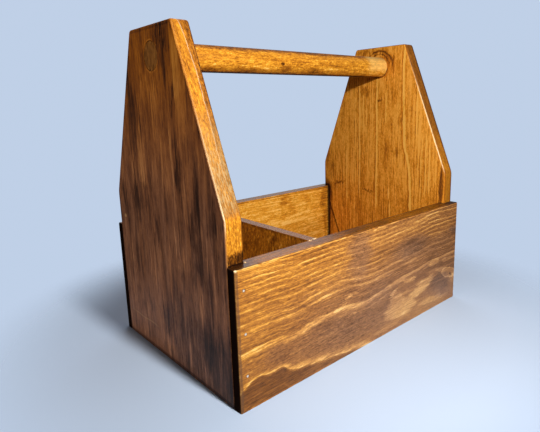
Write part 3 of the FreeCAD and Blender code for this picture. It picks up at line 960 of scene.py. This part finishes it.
def handle_finish():
    """Turned gold along its length, darker and pitted underneath, with a small knot in front.
    Painted shade darkens its top and a line along its underside, painted light brightens its lower
    half, and a painted highlight brightens its right end.
    """
    finish, place = new_finish("handle_stain")
    x, y, z = millimetres(place)
    wide, tall = y - END_WIDTH / 2, z - HANDLE_HEIGHT
    sway = (
        noise(point(x / 90, wide / 10, tall / 10), 2.0) * 4
        + noise(point(x / 18, wide / 4, tall / 4), 2.0) * 0.8
    )
    whole, part = rings(tall + sway, wide, (26.0, 30.0), 2.6, 8.0)
    late = latewood(part, 0.3) * (0.2 + ring_strength(whole) * 0.8)
    blotch = noise(point(x / 30, wide / 8, tall / 8), 3.0, 0.6)
    fine = fibres(x, wide, tall, 3.0)
    flecks = grit(x, wide, tall, 6.0)
    open_pores = pores(x, wide, tall, 8.0)
    rise = tall + noise(point(x / 8, wide / 5, tall / 3), 4.0, 0.65) * 8
    under = ease(rise, -8.0, -12.0)
    pits = ease(noise(point(x / 2.6, wide / 1.6, tall / 1.6), 2.0, 0.7), 0.14, 0.22)
    pits = pits * ease(tall, 4.0, -7.0)
    front = point(x, tall)
    loose = ragged(front, x / 9, tall / 3, (10.0, 3.6))
    knot = patch(front, (160, -2.9), (3.0, 1.6), 0, 0.8)
    marks = patches(
        loose, 1.0,
        ((166, -8), (10, 3), 0, 1.0),
        ((64, -9.5), (16, 3), 0, 0.9),
        ((110, -10), (20, 2.4), 0, 0.9),
        ((215, -9), (18, 2.6), 0, 0.9),
        ((190, 0), (16, 1.0), 4, 0.7),
        ((80, 3), (24, 1.0), -3, 0.5),
        ((270, -2), (22, 1.2), 3, 0.5),
    )
    gold = (
        0.66
        + blotch * 0.62
        + fine * 0.22
        + flecks * 0.66
        + late * 0.06
        - open_pores * 0.08
        - under * 0.06
        # Painted light on the lower half.
        + ease(tall, 1.0, -8.0) * 0.07
        # Painted shade: a dark line along the underside.
        - ease(tall, -12.4, -14.0) * 0.46
        # Painted shade: darker over the top.
        - ease(rise, 8.0, 13.0) * 0.30
        - pits * 0.26
        - marks * 0.18
        - knot * 0.50
        # Painted highlight towards the right end.
        + ease(x + blotch * 30, 310.0, 326.0) * 0.10
    )
    # Painted highlight on the right end, above its underside.
    end_highlight = ease(x + blotch * 24, 316.0, 330.0) * ease(tall, -9.0, -2.0)
    striped = (
        0.48
        + noise(point(y / 0.9, z / 14), 2.0) * 1.3
        + noise(point(y / 4, z / 6), 3.0) * 0.9
    )
    pith = patch(point(y, z), (117, 316.5), (1.6, 1.2), 0, 0.8)
    cut_end = greater(ease(x, 0.6, 0.1), ease(x, BOX_LENGTH - 0.6, BOX_LENGTH - 0.1))
    disc = tint(striped - pith * 0.4, HANDLE_END)
    colour = blend(tint(gold, STAIN), (*END_HIGHLIGHT, 1), end_highlight * 0.45)
    colour = blend(colour, disc, cut_end)
    rough = 0.44 + under * 0.16 + blotch * 0.12 + fine * 0.10 + ease(tall, 7.0, 12.0) * 0.3
    varnish(place, colour, rough, fine * 0.05 - pits * 0.2 - open_pores * 0.06 - knot * 0.2, 0.15)
    return finish


def nail_finish():
    """Bare steel heads, hammer-marked, with a thin brown rim of rust and stain."""
    finish, place = new_finish("nail_steel")
    x, y, z = millimetres(place)
    dent = noise(point(x / 0.6, y / 0.6, z / 0.6), 3.0, 0.6)
    level = [(z - height) ** 2 for height in NAIL_HEIGHTS]
    nearest = lesser(lesser(level[0], level[1]), level[2])
    sideways = lesser((x - END_THICKNESS / 2) ** 2, (BOX_LENGTH - END_THICKNESS / 2 - x) ** 2)
    away = (nearest + sideways) ** 0.5 + noise(point(x / 0.8, z / 0.8), 2.0) * 0.6
    stained = greater(ease(away, 1.0, 1.25), ease(x, 100.0, 200.0) * ease(away, 0.1, 0.5))
    rust = greater(stained, ease(dent, 0.12, 0.25))
    colour = blend(tint(dent + 0.5, STEEL), (*RUST, 1), rust)
    relief = place.node("Bump", (), {"Strength": 1.0, "Distance": MM, "Height": dent * 0.15})
    metal = place.node(
        "BsdfPrincipled",
        (),
        {
            "Base Color": colour,
            "Metallic": (1 - rust) * 0.45,
            "Roughness": 0.28 + rust * 0.4,
            "Normal": relief,
        },
    )
    place.node("OutputMaterial", (), {"Surface": metal})
    return finish


def glue_finish():
    """Dried glue that took no stain, pale and a little glossy."""
    finish, place = new_finish("dried_glue")
    x, y, z = millimetres(place)
    cloud = noise(point(x / 1.5, y / 1.5, z / 1.5), 3.0, 0.6)
    varnish(place, tint(cloud + 0.5, DRY_GLUE), 0.3 + cloud * 0.3, cloud * 0.15)
    return finish


# ---------------------------------------------------------------- pieces made here


def glue_bead(name, centre, reach, seed):
    """A small lump of squeezed-out glue in a joint's corner."""
    lump = bmesh.new()
    bmesh.ops.create_icosphere(lump, subdivisions=3, radius=1.0)
    for corner in lump.verts:
        swell = 1 + 0.22 * math.sin(3.1 * corner.co.x + seed) * math.cos(4.3 * corner.co.y - seed)
        corner.co = Vector(c * r for c, r in zip(corner.co * swell, reach))
        corner.co = (corner.co + Vector(centre) - MIDDLE) * MM
    for flat in lump.faces:
        flat.smooth = True
    shape = bpy.data.meshes.new(name)
    lump.to_mesh(shape)
    lump.free()
    bead = bpy.data.objects.new(name, shape)
    bpy.context.collection.objects.link(bead)
    return bead


def add_glue_beads():
    finish = glue_finish()
    for name, centre, reach, seed in (
        ("glue_bead_left_corner", (20.2, 0.6, 139.6), (1.0, 1.3, 0.8), 0.4),
        ("glue_bead_divider_left", (110.0, 7.6, 139.5), (2.0, 1.2, 0.6), 2.0),
        ("glue_bead_divider_right", (117.6, 9.0, 139.5), (2.6, 1.5, 0.6), 3.2),
    ):
        bead = glue_bead(name, centre, reach, seed)
        bead.data.materials.append(finish)
        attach(bead, "root")


def dress_frame():
    finishes = {
        "front_side_board": front_board_finish(),
        "back_side_board": back_board_finish(),
        "left_end_panel": left_panel_finish(),
        "right_end_panel": right_panel_finish(),
        "cross_divider": divider_finish(),
        "bottom_board": bottom_finish(),
        "handle_dowel": handle_finish(),
    }
    steel = nail_finish()
    for name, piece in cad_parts.items():
        piece.material_slots[0].material = finishes.get(name, steel)


# ---------------------------------------------------------------- floor, light and camera

PALE_CLOTH = (0.50, 0.60, 0.76)
FLOOR_CLOTH = (0.50, 0.61, 0.79)
WARM_FILL = (0.92, 0.84, 0.74)
COOL_FILL = (0.66, 0.62, 0.60)
BEHIND = (0.80, 0.55, 0.25)

# In metres from its middle: where the floor starts to fade and where it's gone, its disc's
# radius, and how far it lies below the tote.
FLOOR_FADE = (0.25, 0.43)
FLOOR_RADIUS = 4.0
FLOOR_DROP = 0.0002

# Each lamp's name, place, aim, watts, width in metres and colour.
LAMPS = (
    ("key_lamp", (26, -330, 440), (190, 60, 120), 3.4, 0.045, (1.0, 0.95, 0.88)),
    ("far_lamp", (130, -1400, 500), (190, 60, 120), 4.2, 0.2, (1.0, 0.95, 0.88)),
    ("side_lamp", (-1500, 60, 150), (0, 100, 150), 6.5, 0.5, (1.0, 0.88, 0.81)),
    ("back_lamp", (900, 1100, 1300), (190, 114, 100), 7.0, 1.2, (0.95, 0.97, 1.0)),
)

# Where the camera stands, the point it looks at, how it's tilted, and its lens.
EYE = Vector((-217.2, -329.9, 280.8))
AIM = Vector((183.5, 114.9, 160.4))
ROLL = math.radians(-1.4)
SENSOR_WIDTH, LENS = 36.0, 31.107
LENS_SHIFT = (-0.0421, -0.0351)


def add_floor():
    floor_finish, place = new_finish("pale_floor")
    along, across = [place.node("SeparateXYZ", (), {0: place}, out=axis) for axis in range(2)]
    away = (along * along + across * across) ** 0.5
    matt = place.node("BsdfDiffuse", (), {"Color": (*FLOOR_CLOTH, 1), "Roughness": 0.5})
    clear = place.node("BsdfTransparent")
    shade = place.node("MixShader", (), {0: ease(away, *FLOOR_FADE), 1: matt, 2: clear})
    place.node("OutputMaterial", (), {"Surface": shade})
    plate = bmesh.new()
    bmesh.ops.create_circle(plate, cap_ends=True, segments=96, radius=FLOOR_RADIUS)
    shape = bpy.data.meshes.new("floor")
    plate.to_mesh(shape)
    plate.free()
    floor = bpy.data.objects.new("floor", shape)
    floor.data.materials.append(floor_finish)
    bpy.context.collection.objects.link(floor)
    floor.location.z = -FLOOR_DROP


def add_world():
    """A pale room behind the tote. The light it sheds is dim and warm, but cool from behind."""
    world = bpy.data.worlds.new("pale_room")
    world.use_nodes = True
    tree = world.node_tree
    tree.nodes.clear()
    toward = Strand(tree.nodes.new("ShaderNodeTexCoord").outputs["Generated"])
    facing = toward.node("VectorMath", {"operation": "DOT_PRODUCT"}, {0: toward, 1: BEHIND}, out=1)
    room = toward.node("Background", (), {"Color": (*PALE_CLOTH, 1), "Strength": 1.05})
    dim = toward.node("Background", (), {"Color": (*WARM_FILL, 1), "Strength": 0.05})
    cool = toward.node("Background", (), {"Color": (*COOL_FILL, 1), "Strength": 0.95})
    shed = toward.node("MixShader", (), {0: ease(facing, 0.30, 0.95), 1: dim, 2: cool})
    seen = toward.node("LightPath")
    surface = toward.node("MixShader", (), {0: seen, 1: shed, 2: room})
    toward.node("OutputWorld", (), {"Surface": surface})
    bpy.context.scene.world = world


def add_lamp(name, place, aim, power, size, colour):
    light = bpy.data.lights.new(name, "AREA")
    light.shape, light.size, light.energy, light.color = "DISK", size, power, colour
    lamp = bpy.data.objects.new(name, light)
    bpy.context.collection.objects.link(lamp)
    lamp.location = (Vector(place) - MIDDLE) * MM
    lamp.rotation_euler = (Vector(aim) - Vector(place)).to_track_quat("-Z", "Y").to_euler()
    lamp.visible_camera = False


def add_camera():
    lens = bpy.data.cameras.new("camera")
    lens.sensor_width, lens.lens = SENSOR_WIDTH, LENS
    lens.shift_x, lens.shift_y = LENS_SHIFT
    lens.clip_start = 0.01
    camera = bpy.data.objects.new("camera", lens)
    bpy.context.collection.objects.link(camera)
    camera.location = (EYE - MIDDLE) * MM
    camera.rotation_mode = "QUATERNION"
    facing = (AIM - EYE).to_track_quat("-Z", "Y")
    camera.rotation_quaternion = facing @ Quaternion((0, 0, 1), ROLL)
    bpy.context.scene.camera = camera


dress_frame()
add_glue_beads()
add_floor()
add_world()
for lamp in LAMPS:
    add_lamp(*lamp)
add_camera()
bpy.context.scene.view_settings.view_transform = "Standard"
